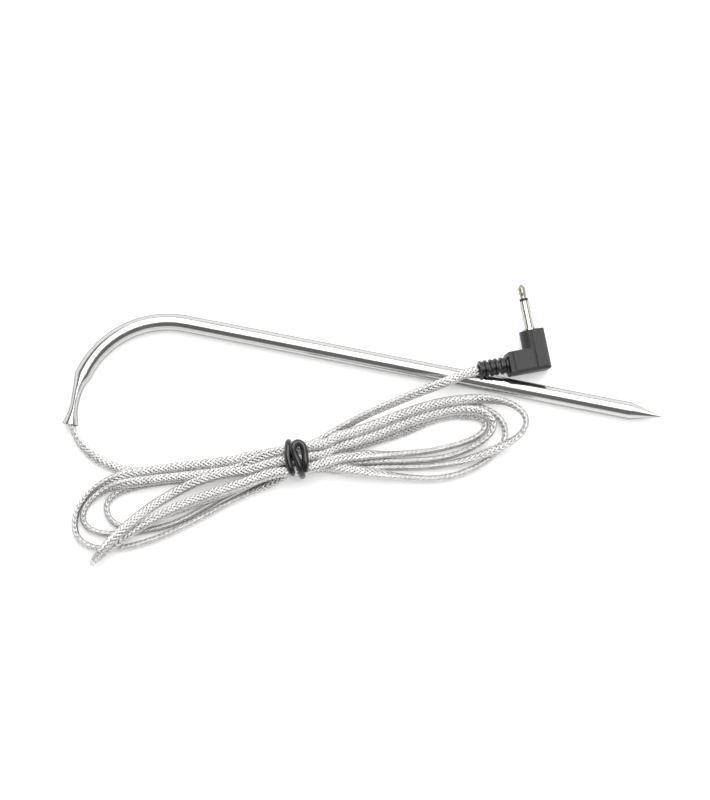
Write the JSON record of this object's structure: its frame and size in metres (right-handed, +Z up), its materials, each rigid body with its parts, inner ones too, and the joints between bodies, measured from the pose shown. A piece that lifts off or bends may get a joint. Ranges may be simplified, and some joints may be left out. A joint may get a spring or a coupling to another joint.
{
  "type": "meat probe",
  "caption": "Bent stainless needle with a temperature sensor in its point, on a flat braided cable tied in a hank, ending in a right-angle mono plug.",
  "frame": {"origin": "bottom centre of the box round the bent needle, which lies on its side", "axes": "+X along the needle to its point, +Y away from the bent end, +Z up"},
  "size_m": [0.1639, 0.0989, 0.0095],
  "materials": {
    "polished_stainless": "polished stainless tube with fine lengthwise drawing lines",
    "sensor_glass": "glazed glass bead",
    "tinned_wire": "tinned copper",
    "wire_insulation": "smooth fluoropolymer",
    "sensor_filler": "matt cured filler",
    "tinned_brass": "tinned brass",
    "black_sleeve": "shrunk sleeve",
    "braided_cable": "flat braid of bright stainless wire",
    "tie_steel": "soft iron wire",
    "tie_vinyl": "glossy black coating",
    "black_vinyl": "satin black moulded vinyl",
    "black_housing": "satin dark grey moulded vinyl with a fine grain",
    "inner_plastic": "natural moulded plastic",
    "nickel_plate": "bright nickel plate",
    "ring_plastic": "black insulator",
    "solder": "bright solder"
  },
  "bodies": {
    "root": {"sheath_tube": "polished_stainless", "probe_point": "polished_stainless", "thermistor_bead": "sensor_glass", "thermistor_leads": "tinned_wire", "lead_sleeves": "wire_insulation", "thermal_paste": "sensor_filler", "splice_ferrules": "tinned_brass", "splice_sleeves": "black_sleeve", "wire_core_a": "tinned_wire", "wire_core_b": "tinned_wire", "wire_jacket_a": "wire_insulation", "wire_jacket_b": "wire_insulation", "cable_in_crimp": "braided_cable", "cable_probe_end": "braided_cable", "cable_hank": "braided_cable", "cable_plug_end": "braided_cable", "tie_core": "tie_steel", "tie_coat": "tie_vinyl", "strain_relief": "black_vinyl", "cable_in_boot": "braided_cable"},
    "plug": {"plug_housing": "black_housing", "plug_inner_mould": "inner_plastic", "plug_barrel": "nickel_plate", "plug_bore_insulator": "inner_plastic", "plug_ring_insulator": "ring_plastic", "plug_tip_contact": "nickel_plate", "barrel_solder_tag": "tinned_brass", "tip_solder_tag": "tinned_brass", "solder_joints": "solder", "plug_wire_cores": "tinned_wire", "plug_wire_jackets": "wire_insulation"}
  },
  "joints": [
    {"name": "plug_flex", "type": "hinge", "parent": "root", "child": "plug", "pos_m": [0.03312, 0.01996, 0.00597], "axis": [0, 0, 1], "range_deg": [0, 35], "stiffness_Nm_per_rad": 0.005, "deforming": ["strain_relief", "cable_in_boot"]}
  ]
}
